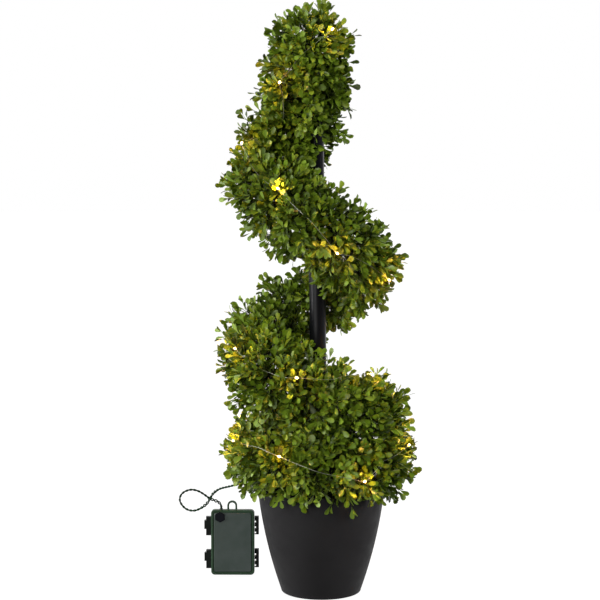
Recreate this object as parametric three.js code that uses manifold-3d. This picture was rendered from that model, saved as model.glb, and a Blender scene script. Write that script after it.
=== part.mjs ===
// An artificial spiral topiary: a leafy roll wound round a slim pole in a tapered pot, lit from
// a battery box that stands behind the pot on its own lead.
// Millimetres, +Z up. The origin is the centre of the pot's flat underside and -Y is the front.

import * as THREE from "three";
import { mergeVertices } from "three/addons/utils/BufferGeometryUtils.js";
import Module from "manifold-3d";

const wasm = await Module();
wasm.setup();

// Gap left between pieces that rest on each other
const SEAT_GAP = 0.3;

// Pot: a bulging taper, open at the top
const POT_HEIGHT = 161;
const POT_BASE_RADIUS = 59.8;
const POT_RIM_RADIUS = 97;
const POT_BULGE = 4.9;
const POT_WALL = 3;
const POT_FLOOR = 4;
const POT_CORNER = 4;
const POT_RIM_EASE = 0.8;
const POT_SIDES = 40;
const POT_CORNER_STEPS = 2;
const POT_OUTER_STEPS = 7;
const POT_INNER_STEPS = 5;

// Cast filling that holds the pole
const FILL_HEIGHT = 80;
const FILL_STEPS = 3;

// Pole: a straight pipe that leans a little to the left
const POLE_RADIUS = 12.5;
const POLE_FOOT_Z = 24;
const POLE_TOP_Z = 780;
const POLE_LEAN = 0.013;
const POLE_SIDES = 32;

// Spiral: the leafy roll's centre line, by the angle turned, in degrees, from its top down
const ROLL_TOP_ANGLE = -67;
const ROLL_FOOT_ANGLE = 1080;
const ROLL_END_ANGLE = 1170;
const ROLL_PITCH = 273.5;
const ROLL_REST_Z = 207;
const ROLL_REST_ANGLE = 746.6;
const ROLL_SETTLE_ANGLE = 78;
const ROLL_UPPER_OFFSET = 71.8;
const ROLL_LOWER_OFFSET = 82.5;
const ROLL_UNWIND_ANGLE = 414;
const ROLL_AXIS_X = 8.3;
const ROLL_LEAN = 0.0598;
const ROLL_TIP_RETURN = 31.8;
const ROLL_TIP_RETURN_Z = 744;
const ROLL_TIP_RETURN_RISE = 120;

// Roll's radius to the leaf tips at its top, its widest, its waist and its foot
const ROLL_TOP_RADIUS = 64.6;
const ROLL_WIDEST_RADIUS = 69.7;
const ROLL_WAIST_RADIUS = 66.1;
const ROLL_WAIST_ANGLE = 720;
const ROLL_FOOT_RADIUS = 68.9;
const ROLL_SWELL_ANGLE = 76;

// Masses: the roll is cut into equal turns, each with a core, a stem to the pole and its sprigs
const MASS_COUNT = 12;
const CORE_DEPTH = 22;
const CORE_SIDES = 12;
const CORE_STEP_ANGLE = 21;
const CORE_END_GAP = 0.5;
const CORE_TURN_GAP = 1;
const CORE_DOME_LIFTS = [0.97, 0.8, 0.5];
const STEM_RADIUS = 5;
const STEM_SIDES = 6;

// Sprigs: a three-sided twig with three leaves, larger than life
const SPRIGS_PER_MASS = 16;
const SPRIG_OUTWARD = 0.4;
const SPRIG_SHORTEST = 0.95;
const SPRIG_LONGEST = 1.12;
const GROOVE_FILL = 0.85;
const TWIG_TILT = 0.5;
const TWIG_ROOT_RADIUS = 2.2;
const TWIG_TIP_RADIUS = 1.3;
const TWIG_SUNK = 8;
const TWIG_PAST_FORK = 2;
const LEAF_LENGTH = 30;
const LEAF_WIDTH = 18;
const LEAF_THICKNESS = 2.2;
const LEAF_WIDEST_AT = 0.62;
const LEAF_TILTS = [0.15, 0.85, 1];
const LEAF_CLEARANCE = 0.8;
const CROWN_TIP = [2, -4, 899];
const CROWN_SPRIGS = 6;
const CROWN_SPREAD = 0.75;

// Battery box, upright behind the pot's left side, its cover to the front and a smaller case behind
const BOX_LEFT = -175;
const BOX_WIDTH = 69;
const BOX_HEIGHT = 104.5;
const BOX_FRONT_Y = 91.5;
const BOX_CORNER = 6;
const BOX_EDGE = 1;
const COVER_DEPTH = 11;
const COVER_FRAME = 3.6;
const PANEL_STEP = 0.7;
const PANEL_GROOVE_DEPTH = 1.5;
const PANEL_GROOVE_WIDTH = 1.2;
const CASE_DEPTH = 17.7;
const CASE_INSET = 1.5;
const CASE_DROP = 5;
const BUTTON_X = -160.8;
const BUTTON_Z = 93.4;
const BUTTON_RADIUS = 8.6;
const BUTTON_PROUD = 1.6;
const BUTTON_EDGE = 0.4;

// Latches on the box's left side and hinges on its right
const LATCH_REACH = 8.2;
const LATCH_TAB_REACH = 11;
const LATCH_DEPTH = 8;
const LATCH_SET_BACK = 5;
const LATCHES = [
  { name: "box_latch_upper", low: 62.6, high: 92.6, tabLow: 72.9, tabHigh: 86.4 },
  { name: "box_latch_lower", low: 9.5, high: 39, tabLow: 21.3, tabHigh: 34.7 },
];
const HINGE_REACH = 6.8;
const HINGE_DEPTH = 6;
const HINGE_SET_BACK = 7;
const HINGE_NOTCH_WIDTH = 2;
const HINGE_NOTCH_HEIGHT = 3.4;
const HINGE_NOTCH_MIDDLES = [0.09, 0.38, 0.69];
const HINGES = [
  { name: "box_hinge_upper", low: 63.9, high: 93.2 },
  { name: "box_hinge_lower", low: 10.8, high: 40.7 },
];

// Hanging loop on the box's top edge
const LOOP_X = -141.3;
const LOOP_RADIUS = 7.9;
const LOOP_BAR = 2.9;
const LOOP_RISE = 14.3;
const LOOP_THICKNESS = 4;
const LOOP_Y = 97;

// Lead: a thin twisted pair from the box's gland to the sleeve in the leaves
const LEAD_RADIUS = 1.6;
const LEAD_SIDES = 8;
const LEAD_STEPS = 40;
const LEAD_ROUTE = [
  [-158.8, 97, 106.9],
  [-158.9, 97, 109],
  [-159.7, 96.6, 111.8],
  [-162, 95.6, 115.2],
  [-167, 93.6, 118.6],
  [-176.7, 91, 123.2],
  [-185.9, 88.5, 130.4],
  [-194.6, 86.2, 135.9],
  [-204.4, 83.5, 138.6],
  [-213.6, 80.5, 137],
  [-219.9, 77.5, 132.8],
  [-222.6, 74.5, 127],
  [-221.6, 72, 120.8],
  [-216.4, 68.5, 114.4],
  [-209, 64.8, 110.3],
  [-200, 61.8, 109.6],
  [-191.8, 58.8, 112.4],
  [-184.4, 55.6, 117.4],
  [-177.4, 51.8, 124.4],
  [-172.6, 48, 132.4],
  [-167.2, 43.6, 141.4],
  [-157.6, 36, 149],
  [-146.4, 27, 153.8],
  [-136.6, 19.6, 157.4],
  [-127, 14.2, 161.8],
  [-119, 10.6, 167.8],
];
const GLAND_RADIUS = 2.5;
const GLAND_HEIGHT = 1.8;
const GLAND_MOUTH_RADIUS = 2;
const SLEEVE_RADIUS = 2.3;
const SLEEVE_LENGTH = 14;
const SMALL_ROUND_SIDES = 16;

// Solids and geometries

function solidOf(geometry) {
  const bare = geometry.index ? geometry.toNonIndexed() : geometry.clone();
  bare.deleteAttribute("normal");
  bare.deleteAttribute("uv");
  const merged = mergeVertices(bare, 1e-4);
  return new wasm.Manifold(
    new wasm.Mesh({
      numProp: 3,
      vertProperties: merged.attributes.position.array,
      triVerts: new Uint32Array(merged.index.array),
    }),
  );
}

function geometryOf(solid) {
  const mesh = solid.getMesh();
  const geometry = new THREE.BufferGeometry();
  geometry.setAttribute("position", new THREE.BufferAttribute(mesh.vertProperties, 3));
  geometry.setIndex(new THREE.BufferAttribute(mesh.triVerts, 1));
  geometry.computeVertexNormals();
  return geometry;
}

// Closed skin through rings of points that turn counter-clockwise about the way the rings go
function loftedSolid(rings) {
  const sides = rings[0].length;
  const last = rings.length - 1;
  const points = rings.flat();
  const middleOf = (ring) => ring
    .reduce((sum, point) => sum.add(point), new THREE.Vector3())
    .divideScalar(ring.length);
  const startMiddle = points.push(middleOf(rings[0])) - 1;
  const endMiddle = points.push(middleOf(rings[last])) - 1;
  const faces = [];
  for (let ring = 0; ring < last; ring += 1) {
    for (let side = 0; side < sides; side += 1) {
      const next = (side + 1) % sides;
      const low = ring * sides;
      const high = low + sides;
      faces.push([low + side, low + next, high + next]);
      faces.push([low + side, high + next, high + side]);
    }
  }
  for (let side = 0; side < sides; side += 1) {
    const next = (side + 1) % sides;
    faces.push([startMiddle, next, side]);
    faces.push([endMiddle, last * sides + side, last * sides + next]);
  }
  return solidOf(facetedGeometry(points, faces));
}

function facetedGeometry(points, faces) {
  const geometry = new THREE.BufferGeometry();
  const places = points.flatMap((point) => point.toArray());
  geometry.setAttribute("position", new THREE.Float32BufferAttribute(places, 3));
  geometry.setIndex(faces.flat());
  return geometry;
}

// Straight bar with flat ends, tapering from one radius to the other
function barSolid(from, to, fromRadius, toRadius, sides) {
  const axis = to.clone().sub(from).normalize();
  const [across, up] = crossDirections(axis);
  const ringAt = (middle, radius) => Array.from({ length: sides }, (_, side) => {
    const angle = (2 * Math.PI * side) / sides;
    return middle.clone()
      .addScaledVector(across, radius * Math.cos(angle))
      .addScaledVector(up, radius * Math.sin(angle));
  });
  return loftedSolid([ringAt(from, fromRadius), ringAt(to, toRadius)]);
}

// Two directions square to an axis, so that across, up and the axis are right-handed
function crossDirections(axis) {
  const guide = Math.abs(axis.z) < 0.9 ? new THREE.Vector3(0, 0, 1) : new THREE.Vector3(0, 1, 0);
  const across = guide.cross(axis).normalize();
  const up = axis.clone().cross(across);
  return [across, up];
}

function boxesOverlap(a, b) {
  return [0, 1, 2].every((axis) => a.min[axis] <= b.max[axis] && b.min[axis] <= a.max[axis]);
}

function touches(solid, others) {
  const box = solid.boundingBox();
  return others.some((other) => boxesOverlap(box, other.box)
    && !solid.intersect(other.solid).isEmpty());
}

function withBox(solid) {
  return { solid, box: solid.boundingBox() };
}

// Drops loose scraps that a cut leaves behind
function largestPiece(solid) {
  const pieces = solid.decompose();
  return pieces.reduce((best, piece) => (piece.volume() > best.volume() ? piece : best));
}

// Even steps that look scattered, the same on every run
function scatter(index, seed) {
  const wave = Math.sin(index * 12.9898 + seed * 78.233) * 43758.5453;
  return wave - Math.floor(wave);
}

function smoothStep(value) {
  const t = THREE.MathUtils.clamp(value, 0, 1);
  return t * t * (3 - 2 * t);
}

// The spiral's centre line and radius

function rollHeight(angle) {
  const above = Math.exp((ROLL_REST_ANGLE - angle) / ROLL_SETTLE_ANGLE);
  return ROLL_REST_Z + (ROLL_PITCH * ROLL_SETTLE_ANGLE / 360) * Math.log(1 + above);
}

function rollOffset(angle) {
  const down = THREE.MathUtils.clamp(angle / ROLL_FOOT_ANGLE, 0, 1);
  const full = THREE.MathUtils.lerp(ROLL_UPPER_OFFSET, ROLL_LOWER_OFFSET, down);
  return full * smoothStep((angle - ROLL_TOP_ANGLE) / ROLL_UNWIND_ANGLE);
}

function rollRadius(angle) {
  const toWaist = THREE.MathUtils.clamp(angle / ROLL_WAIST_ANGLE, 0, 1);
  const toFoot = Math.max(0, (angle - ROLL_WAIST_ANGLE) / (ROLL_END_ANGLE - ROLL_WAIST_ANGLE));
  const upper = THREE.MathUtils.lerp(ROLL_WIDEST_RADIUS, ROLL_WAIST_RADIUS, toWaist);
  const full = THREE.MathUtils.lerp(upper, ROLL_FOOT_RADIUS, toFoot);
  const swell = smoothStep((angle - ROLL_TOP_ANGLE) / ROLL_SWELL_ANGLE);
  return THREE.MathUtils.lerp(ROLL_TOP_RADIUS, full, swell);
}

function rollCentre(angle) {
  const turn = THREE.MathUtils.degToRad(angle);
  const z = rollHeight(angle);
  const back = ROLL_TIP_RETURN * smoothStep((z - ROLL_TIP_RETURN_Z) / ROLL_TIP_RETURN_RISE);
  const offset = rollOffset(angle);
  const axisX = ROLL_AXIS_X - ROLL_LEAN * z + back;
  return new THREE.Vector3(axisX + offset * Math.cos(turn), offset * Math.sin(turn), z);
}

// Way down the roll, with the directions out from the pole's side and square to both
function rollFrame(angle) {
  const turn = THREE.MathUtils.degToRad(angle);
  const down = rollCentre(angle + 1).sub(rollCentre(angle - 1)).normalize();
  const out = new THREE.Vector3(Math.cos(turn), Math.sin(turn), 0);
  out.addScaledVector(down, -out.dot(down)).normalize();
  const side = down.clone().cross(out);
  return { centre: rollCentre(angle), down, out, side };
}

function directionAround(frame, around) {
  return frame.out.clone().multiplyScalar(Math.cos(around))
    .addScaledVector(frame.side, Math.sin(around));
}

function poleCentre(z) {
  return new THREE.Vector3(-POLE_LEAN * z, 0, z);
}

function poleSolid(radius, low, high) {
  return barSolid(poleCentre(low), poleCentre(high), radius, radius, POLE_SIDES);
}

// Pot and filling

// Outer radius of the pot on the arc that its side bulges along
function potRadius(z) {
  const rise = POT_RIM_RADIUS - POT_BASE_RADIUS;
  const chord = Math.hypot(rise, POT_HEIGHT);
  const arcRadius = (chord * chord) / (8 * POT_BULGE) + POT_BULGE / 2;
  const middleR = (POT_RIM_RADIUS + POT_BASE_RADIUS) / 2;
  const back = arcRadius - POT_BULGE;
  const centreR = middleR - (back * POT_HEIGHT) / chord;
  const centreZ = POT_HEIGHT / 2 + (back * rise) / chord;
  return centreR + Math.sqrt(arcRadius * arcRadius - (z - centreZ) ** 2);
}

function potOutline(lowZ, highZ, inset, steps) {
  return Array.from({ length: steps + 1 }, (_, step) => {
    const z = THREE.MathUtils.lerp(lowZ, highZ, step / steps);
    return new THREE.Vector2(potRadius(z) - inset, z);
  });
}

function turned(profile) {
  const geometry = new THREE.LatheGeometry(profile, POT_SIDES);
  geometry.rotateX(Math.PI / 2);
  return geometry;
}

function potGeometry() {
  const corner = Array.from({ length: POT_CORNER_STEPS }, (_, step) => {
    const angle = (Math.PI / 2) * (step / POT_CORNER_STEPS);
    const r = potRadius(POT_CORNER) - POT_CORNER + POT_CORNER * Math.sin(angle);
    return new THREE.Vector2(r, POT_CORNER - POT_CORNER * Math.cos(angle));
  });
  const profile = [
    new THREE.Vector2(0, 0),
    ...corner,
    ...potOutline(POT_CORNER, POT_HEIGHT - POT_RIM_EASE, 0, POT_OUTER_STEPS),
    new THREE.Vector2(potRadius(POT_HEIGHT) - POT_RIM_EASE, POT_HEIGHT),
    new THREE.Vector2(potRadius(POT_HEIGHT) - POT_WALL, POT_HEIGHT),
    ...potOutline(POT_FLOOR, POT_HEIGHT - POT_RIM_EASE, POT_WALL, POT_INNER_STEPS).reverse(),
    new THREE.Vector2(0, POT_FLOOR),
  ];
  return turned(profile);
}

function fillGeometry() {
  const inset = POT_WALL + SEAT_GAP;
  const profile = [
    new THREE.Vector2(0, POT_FLOOR + SEAT_GAP),
    ...potOutline(POT_FLOOR + SEAT_GAP, FILL_HEIGHT, inset, FILL_STEPS),
    new THREE.Vector2(0, FILL_HEIGHT),
  ];
  const socket = poleSolid(POLE_RADIUS + SEAT_GAP, POLE_FOOT_Z - SEAT_GAP, POT_HEIGHT);
  return geometryOf(solidOf(turned(profile)).subtract(socket));
}

// Masses of foliage

// Angles at which the roll is cut into masses
function massAngles(index) {
  const span = (ROLL_END_ANGLE - ROLL_TOP_ANGLE) / MASS_COUNT;
  return [ROLL_TOP_ANGLE + span * index, ROLL_TOP_ANGLE + span * (index + 1)];
}

function rollDistancePerDegree(angle) {
  return rollCentre(angle + 0.5).distanceTo(rollCentre(angle - 0.5));
}

function coreRing(frame, radius) {
  return Array.from({ length: CORE_SIDES }, (_, side) => frame.centre.clone()
    .addScaledVector(directionAround(frame, (2 * Math.PI * side) / CORE_SIDES), radius));
}

// Core of a mass, which may be grown all round, with a dome where it is the roll's own tip
function coreSolid(index, grown) {
  const [first, last] = massAngles(index);
  const endGap = CORE_END_GAP - grown;
  const from = index === 0 ? first : first + endGap / rollDistancePerDegree(first);
  const to = last - endGap / rollDistancePerDegree(last);
  const steps = Math.max(3, Math.round((to - from) / CORE_STEP_ANGLE));
  const rings = [];
  if (index === 0) {
    const tip = rollFrame(first);
    const radius = rollRadius(first) - CORE_DEPTH + grown;
    for (const lift of CORE_DOME_LIFTS) {
      const centre = tip.centre.clone().addScaledVector(tip.down, -radius * lift);
      rings.push(coreRing({ ...tip, centre }, radius * Math.sqrt(1 - lift * lift)));
    }
  }
  for (let step = 0; step <= steps; step += 1) {
    const angle = THREE.MathUtils.lerp(from, to, step / steps);
    rings.push(coreRing(rollFrame(angle), rollRadius(angle) - CORE_DEPTH + grown));
  }
  return loftedSolid(rings);
}

// A mass whose core doesn't reach the pole is held by a stem from its middle
function needsStem(index) {
  const [first, last] = massAngles(index);
  const { centre } = rollFrame((first + last) / 2);
  return centre.distanceTo(poleCentre(centre.z)) > rollRadius((first + last) / 2) - CORE_DEPTH;
}

function stemSolid(index) {
  const [first, last] = massAngles(index);
  const { centre } = rollFrame((first + last) / 2);
  return barSolid(centre, poleCentre(centre.z), STEM_RADIUS, STEM_RADIUS, STEM_SIDES);
}

// Flat spoon-shaped leaf of eight faces
function leafSolid(root, along, across, grown) {
  const length = LEAF_LENGTH + grown;
  const halfWidth = LEAF_WIDTH / 2 + grown;
  const halfThickness = LEAF_THICKNESS / 2 + grown;
  const normal = along.clone().cross(across);
  const widest = root.clone().addScaledVector(along, length * LEAF_WIDEST_AT);
  const points = [
    root,
    widest.clone().addScaledVector(across, halfWidth),
    root.clone().addScaledVector(along, length),
    widest.clone().addScaledVector(across, -halfWidth),
    widest.clone().addScaledVector(normal, halfThickness),
    widest.clone().addScaledVector(normal, -halfThickness),
  ];
  const faces = [
    [0, 3, 4], [3, 2, 4], [2, 1, 4], [1, 0, 4],
    [3, 0, 5], [2, 3, 5], [1, 2, 5], [0, 1, 5],
  ];
  return solidOf(facetedGeometry(points, faces));
}

// Twig with a leaf that goes on from it and others that splay round it
function sprigSolid(root, direction, reach, roll, grown) {
  const [across, up] = crossDirections(direction);
  const fork = root.clone().addScaledVector(direction, reach - LEAF_LENGTH);
  const twigTip = fork.clone().addScaledVector(direction, TWIG_PAST_FORK);
  const pieces = [barSolid(root, twigTip, TWIG_ROOT_RADIUS + grown, TWIG_TIP_RADIUS + grown, 3)];
  LEAF_TILTS.forEach((tilt, count) => {
    const turn = roll + (2 * Math.PI * count) / LEAF_TILTS.length;
    const sideways = across.clone().multiplyScalar(Math.cos(turn)).addScaledVector(up, Math.sin(turn));
    const along = direction.clone().multiplyScalar(Math.cos(tilt)).addScaledVector(sideways, Math.sin(tilt));
    const width = direction.clone().cross(sideways);
    pieces.push(leafSolid(fork, along, width, grown));
  });
  return wasm.Manifold.union(pieces);
}

// Sprig whose leaf tips reach a point, rooted below the face of the core
function sprigTo({ centre, coreRadius, tip, roll }, grown) {
  const direction = tip.clone().sub(centre);
  const reach = direction.length();
  direction.normalize();
  const root = centre.clone().addScaledVector(direction, coreRadius - TWIG_SUNK);
  return sprigSolid(root, direction, reach - coreRadius + TWIG_SUNK, roll, grown);
}

// Places of a mass's sprigs, spread evenly along it and round it, each twig tilted along the roll
function sprigPlaces(index) {
  const [first, last] = massAngles(index);
  const golden = Math.PI * (3 - Math.sqrt(5));
  const places = [];
  for (let count = 0; count < SPRIGS_PER_MASS; count += 1) {
    const angle = THREE.MathUtils.lerp(first, last, (count + 0.5) / SPRIGS_PER_MASS);
    const frame = rollFrame(angle);
    const tilt = TWIG_TILT * (scatter(count, index + 1) - 0.5);
    const turn = count * golden + index;
    const direction = directionAround(frame, turn - SPRIG_OUTWARD * Math.sin(turn))
      .multiplyScalar(Math.cos(tilt))
      .addScaledVector(frame.down, Math.sin(tilt));
    const share = THREE.MathUtils.lerp(SPRIG_SHORTEST, SPRIG_LONGEST, scatter(count, index + 5));
    const straightTip = frame.centre.clone().addScaledVector(direction, share * rollRadius(angle));
    const tip = [angle - 360, angle + 360]
      .reduce((place, beside) => outOfGroove(place, angle, beside, share), straightTip);
    const coreRadius = (rollRadius(angle) - CORE_DEPTH) / Math.cos(tilt);
    places.push({ centre: frame.centre, coreRadius, tip, roll: Math.PI * scatter(count, index + 9) });
  }
  return index === 0 ? [...crownPlaces(), ...places] : places;
}

// A tip that lies between two touching turns of the roll, moved out to fill the groove there
function outOfGroove(tip, angle, beside, share) {
  const centre = rollCentre(angle);
  const across = rollCentre(beside).sub(centre);
  const gap = across.length();
  const touching = beside > ROLL_TOP_ANGLE && beside < ROLL_END_ANGLE
    && gap < rollRadius(angle) + rollRadius(beside);
  const arm = tip.clone().sub(centre);
  const part = arm.dot(across) / (gap * gap);
  const turn = THREE.MathUtils.degToRad(angle);
  const outward = new THREE.Vector3(Math.cos(turn), Math.sin(turn), 0);
  const reached = arm.addScaledVector(across, -part).dot(outward);
  if (!touching || part <= 0 || part >= 1 || reached <= 0) return tip;
  const wanted = share * THREE.MathUtils.lerp(rollRadius(angle), rollRadius(beside), part);
  return tip.clone().addScaledVector(outward, GROOVE_FILL * Math.max(wanted - reached, 0));
}

// Sprigs of the roll's own tip, the first of them the highest point of all
function crownPlaces() {
  const frame = rollFrame(ROLL_TOP_ANGLE);
  const coreRadius = rollRadius(ROLL_TOP_ANGLE) - CORE_DEPTH;
  const tips = [new THREE.Vector3(...CROWN_TIP)];
  for (let count = 0; count < CROWN_SPRIGS; count += 1) {
    const turn = (2 * Math.PI * count) / CROWN_SPRIGS;
    const direction = directionAround(frame, turn).multiplyScalar(Math.sin(CROWN_SPREAD))
      .addScaledVector(frame.down, -Math.cos(CROWN_SPREAD));
    tips.push(frame.centre.clone().addScaledVector(direction, rollRadius(ROLL_TOP_ANGLE)));
  }
  return tips.map((tip, count) => ({ centre: frame.centre, coreRadius, tip, roll: count }));
}

function isInsidePot(point) {
  return point.z < POT_HEIGHT && Math.hypot(point.x, point.y) < POT_RIM_RADIUS;
}

// All masses: their cores first, cut clear of what runs through them, then the sprigs that fit
function massSolids(fixed) {
  const cores = [];
  for (let index = 0; index < MASS_COUNT; index += 1) {
    const body = needsStem(index) ? coreSolid(index, 0).add(stemSolid(index)) : coreSolid(index, 0);
    const upperTurns = Array.from({ length: Math.max(0, index - 1) }, (_, above) =>
      coreSolid(above, CORE_TURN_GAP));
    const cut = [...fixed.gaps, ...upperTurns].reduce((solid, gap) => solid.subtract(gap), body);
    cores.push(withBox(largestPiece(cut)));
  }
  const earlierSprigs = [];
  return cores.map((core, index) => {
    const others = [
      ...fixed.obstacles,
      ...cores.filter((other) => other !== core),
      ...earlierSprigs,
    ];
    const sprigs = sprigPlaces(index)
      .filter((place) => !isInsidePot(place.tip))
      .filter((place) => !touches(sprigTo(place, LEAF_CLEARANCE), others))
      .map((place) => withBox(sprigTo(place, 0)));
    earlierSprigs.push(...sprigs);
    return largestPiece(wasm.Manifold.union([core, ...sprigs].map((piece) => piece.solid)));
  });
}

// Lead with its sleeve and gland

const leadCurve = new THREE.CatmullRomCurve3(LEAD_ROUTE.map((place) => new THREE.Vector3(...place)));

function leadGeometry(radius) {
  const section = new THREE.Shape(Array.from({ length: LEAD_SIDES }, (_, side) => {
    const angle = (2 * Math.PI * side) / LEAD_SIDES;
    return new THREE.Vector2(radius * Math.cos(angle), radius * Math.sin(angle));
  }));
  return new THREE.ExtrudeGeometry(section, { steps: LEAD_STEPS, extrudePath: leadCurve });
}

// Sleeve that goes on from the lead's end into the leaves
function sleeveSolid(grown) {
  const along = leadCurve.getTangent(1);
  const start = leadCurve.getPoint(1).addScaledVector(along, SEAT_GAP);
  const end = start.clone().addScaledVector(along, SLEEVE_LENGTH + grown);
  return barSolid(start, end, SLEEVE_RADIUS + grown, SLEEVE_RADIUS + grown, SMALL_ROUND_SIDES);
}

function glandGeometry() {
  const [x, y] = LEAD_ROUTE[0];
  const low = BOX_HEIGHT + SEAT_GAP;
  const profile = [
    new THREE.Vector2(0, 0),
    new THREE.Vector2(GLAND_RADIUS, 0),
    new THREE.Vector2(GLAND_RADIUS, GLAND_HEIGHT / 3),
    new THREE.Vector2(GLAND_MOUTH_RADIUS, GLAND_HEIGHT),
    new THREE.Vector2(0, GLAND_HEIGHT),
  ];
  const geometry = new THREE.LatheGeometry(profile, SMALL_ROUND_SIDES);
  geometry.rotateX(Math.PI / 2);
  geometry.translate(x, y, low);
  return geometry;
}

// Battery box

// Outline drawn in X and Z, extruded from its front to its back
function upright(shape, frontY, depth, bevel = 0) {
  const geometry = new THREE.ExtrudeGeometry(shape, {
    depth: depth - 2 * bevel,
    bevelEnabled: bevel > 0,
    bevelThickness: bevel,
    bevelSize: bevel,
    bevelOffset: -bevel,
    bevelSegments: 1,
    curveSegments: 5,
  });
  geometry.rotateX(Math.PI / 2);
  geometry.translate(0, frontY + depth - bevel, 0);
  return geometry;
}

function roundedRectangle(left, low, width, height, corner) {
  const shape = new THREE.Shape();
  shape.moveTo(left + corner, low);
  shape.lineTo(left + width - corner, low);
  shape.absarc(left + width - corner, low + corner, corner, -Math.PI / 2, 0);
  shape.lineTo(left + width, low + height - corner);
  shape.absarc(left + width - corner, low + height - corner, corner, 0, Math.PI / 2);
  shape.lineTo(left + corner, low + height);
  shape.absarc(left + corner, low + height - corner, corner, Math.PI / 2, Math.PI);
  shape.lineTo(left, low + corner);
  shape.absarc(left + corner, low + corner, corner, Math.PI, 1.5 * Math.PI);
  return shape;
}

function polygon(corners) {
  return new THREE.Shape(corners.map(([x, z]) => new THREE.Vector2(x, z)));
}

function insetRectangle(inset) {
  return roundedRectangle(
    BOX_LEFT + inset,
    inset,
    BOX_WIDTH - 2 * inset,
    BOX_HEIGHT - 2 * inset,
    BOX_CORNER - inset / 2,
  );
}

function buttonOutline() {
  return polygon(Array.from({ length: 6 }, (_, side) => {
    const angle = Math.PI / 6 + (Math.PI * side) / 3;
    return [BUTTON_X + BUTTON_RADIUS * Math.cos(angle), BUTTON_Z + BUTTON_RADIUS * Math.sin(angle)];
  }));
}

// Cover with its panel let in a step behind the frame, a groove round the panel and the button's boss
function coverGeometry() {
  const recessTo = (inset, depth) =>
    solidOf(upright(insetRectangle(inset), BOX_FRONT_Y - depth, 2 * depth));
  const body = solidOf(upright(insetRectangle(0), BOX_FRONT_Y, COVER_DEPTH, BOX_EDGE));
  const step = recessTo(COVER_FRAME, PANEL_STEP);
  const groove = recessTo(COVER_FRAME, PANEL_GROOVE_DEPTH)
    .subtract(recessTo(COVER_FRAME + PANEL_GROOVE_WIDTH, 2 * PANEL_GROOVE_DEPTH));
  const boss = solidOf(upright(buttonOutline(), BOX_FRONT_Y, COVER_DEPTH));
  return geometryOf(body.subtract(step.add(groove).subtract(boss)));
}

function caseGeometry() {
  const outline = roundedRectangle(
    BOX_LEFT + CASE_INSET,
    0,
    BOX_WIDTH - 2 * CASE_INSET,
    BOX_HEIGHT - CASE_DROP,
    BOX_CORNER,
  );
  return upright(outline, BOX_FRONT_Y + COVER_DEPTH + SEAT_GAP, CASE_DEPTH, BOX_EDGE);
}

function buttonGeometry() {
  const frontY = BOX_FRONT_Y - SEAT_GAP - BUTTON_PROUD;
  return upright(buttonOutline(), frontY, BUTTON_PROUD, BUTTON_EDGE);
}

// Latch with a finger tab, hooked over the joint of cover and case
function latchGeometry({ low, high, tabLow, tabHigh }) {
  const inner = BOX_LEFT - SEAT_GAP;
  const outer = BOX_LEFT - LATCH_REACH;
  const tab = BOX_LEFT - LATCH_TAB_REACH;
  const outline = polygon([
    [inner, low], [inner, high], [outer, high], [outer, tabHigh],
    [tab, tabHigh], [tab, tabLow], [outer, tabLow], [outer, low],
  ]);
  return upright(outline, BOX_FRONT_Y + LATCH_SET_BACK, LATCH_DEPTH);
}

// Hinge block with the notches between its knuckles open to the box's side
function hingeGeometry({ low, high }) {
  const inner = BOX_LEFT + BOX_WIDTH + SEAT_GAP;
  const outer = BOX_LEFT + BOX_WIDTH + HINGE_REACH;
  const notches = HINGE_NOTCH_MIDDLES.flatMap((share) => {
    const middle = THREE.MathUtils.lerp(low, high, share);
    const notchLow = middle - HINGE_NOTCH_HEIGHT / 2;
    const notchHigh = middle + HINGE_NOTCH_HEIGHT / 2;
    const depth = inner + HINGE_NOTCH_WIDTH;
    return [[inner, notchLow], [depth, notchLow], [depth, notchHigh], [inner, notchHigh]];
  });
  const outline = polygon([[inner, low], ...notches, [inner, high], [outer, high], [outer, low]]);
  return upright(outline, BOX_FRONT_Y + HINGE_SET_BACK, HINGE_DEPTH);
}

function loopGeometry() {
  const low = BOX_HEIGHT + SEAT_GAP;
  const bend = BOX_HEIGHT + LOOP_RISE - LOOP_RADIUS;
  const inner = LOOP_RADIUS - LOOP_BAR;
  const outline = new THREE.Shape();
  outline.moveTo(LOOP_X + LOOP_RADIUS, low);
  outline.lineTo(LOOP_X + LOOP_RADIUS, bend);
  outline.absarc(LOOP_X, bend, LOOP_RADIUS, 0, Math.PI);
  outline.lineTo(LOOP_X - LOOP_RADIUS, low);
  outline.lineTo(LOOP_X - inner, low);
  outline.lineTo(LOOP_X - inner, bend);
  outline.absarc(LOOP_X, bend, inner, Math.PI, 0, true);
  outline.lineTo(LOOP_X + inner, low);
  return upright(outline, LOOP_Y - LOOP_THICKNESS / 2, LOOP_THICKNESS);
}

// Materials and assembly

const finishes = {
  pot: new THREE.MeshStandardMaterial({ color: 0x1d1e20, roughness: 0.75 }),
  fill: new THREE.MeshStandardMaterial({ color: 0x8a867e, roughness: 0.95 }),
  pole: new THREE.MeshStandardMaterial({ color: 0x0c0d12, roughness: 0.3 }),
  leaves: new THREE.MeshStandardMaterial({ color: 0x4f6d24, roughness: 0.6 }),
  box: new THREE.MeshStandardMaterial({ color: 0x1c2f26, roughness: 0.5 }),
  darkPlastic: new THREE.MeshStandardMaterial({ color: 0x14171a, roughness: 0.5 }),
  lead: new THREE.MeshStandardMaterial({ color: 0x12321c, roughness: 0.45 }),
};

const topiary = new THREE.Group();

function addNode(name, geometry, material) {
  const mesh = new THREE.Mesh(geometry, material);
  mesh.name = name;
  topiary.add(mesh);
}

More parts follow.
